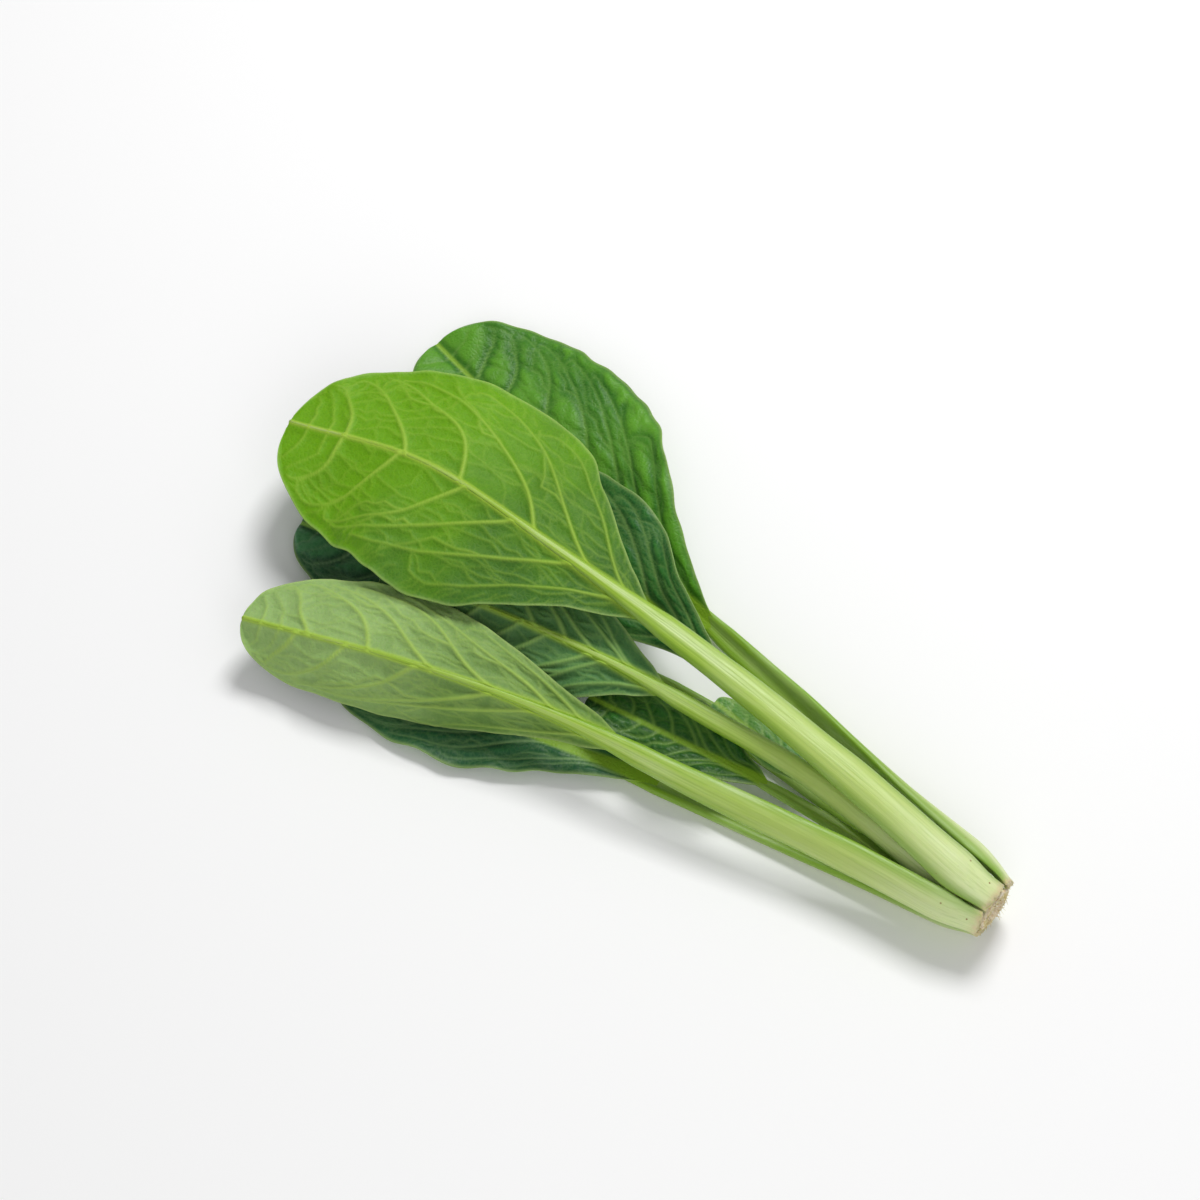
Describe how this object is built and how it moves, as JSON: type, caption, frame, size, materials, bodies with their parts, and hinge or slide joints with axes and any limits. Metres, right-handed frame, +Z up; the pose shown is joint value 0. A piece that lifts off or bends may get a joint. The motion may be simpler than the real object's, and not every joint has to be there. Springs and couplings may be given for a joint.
{
  "type": "komatsuna",
  "caption": "Head of komatsuna lying on its side: broad green leaves on long fleshy stems that meet at a short cut crown.",
  "frame": {"origin": "on the table under the middle of the head", "axes": "+X towards the cut end, leaves towards -X; +Z up"},
  "size_m": [0.292, 0.1672, 0.0413],
  "materials": {
    "stem": "smooth waxy skin, fine lengthwise ribs, whiter at the base",
    "blade": "soft satin leaf with paler raised veins",
    "crown": "rough cut fibres"
  },
  "bodies": {
    "root": {"crown": "crown", "stem_top": "stem", "blade_top": "blade", "stem_near": "stem", "blade_near": "blade", "stem_middle": "stem", "blade_middle": "blade", "stem_small": "stem", "blade_small": "blade", "stem_lower": "stem", "blade_lower": "blade", "stem_under": "stem", "blade_under": "blade", "stem_far": "stem", "blade_far": "blade", "stem_inner": "stem", "blade_inner": "blade", "stem_heart": "stem", "blade_heart": "blade"}
  },
  "joints": []
}
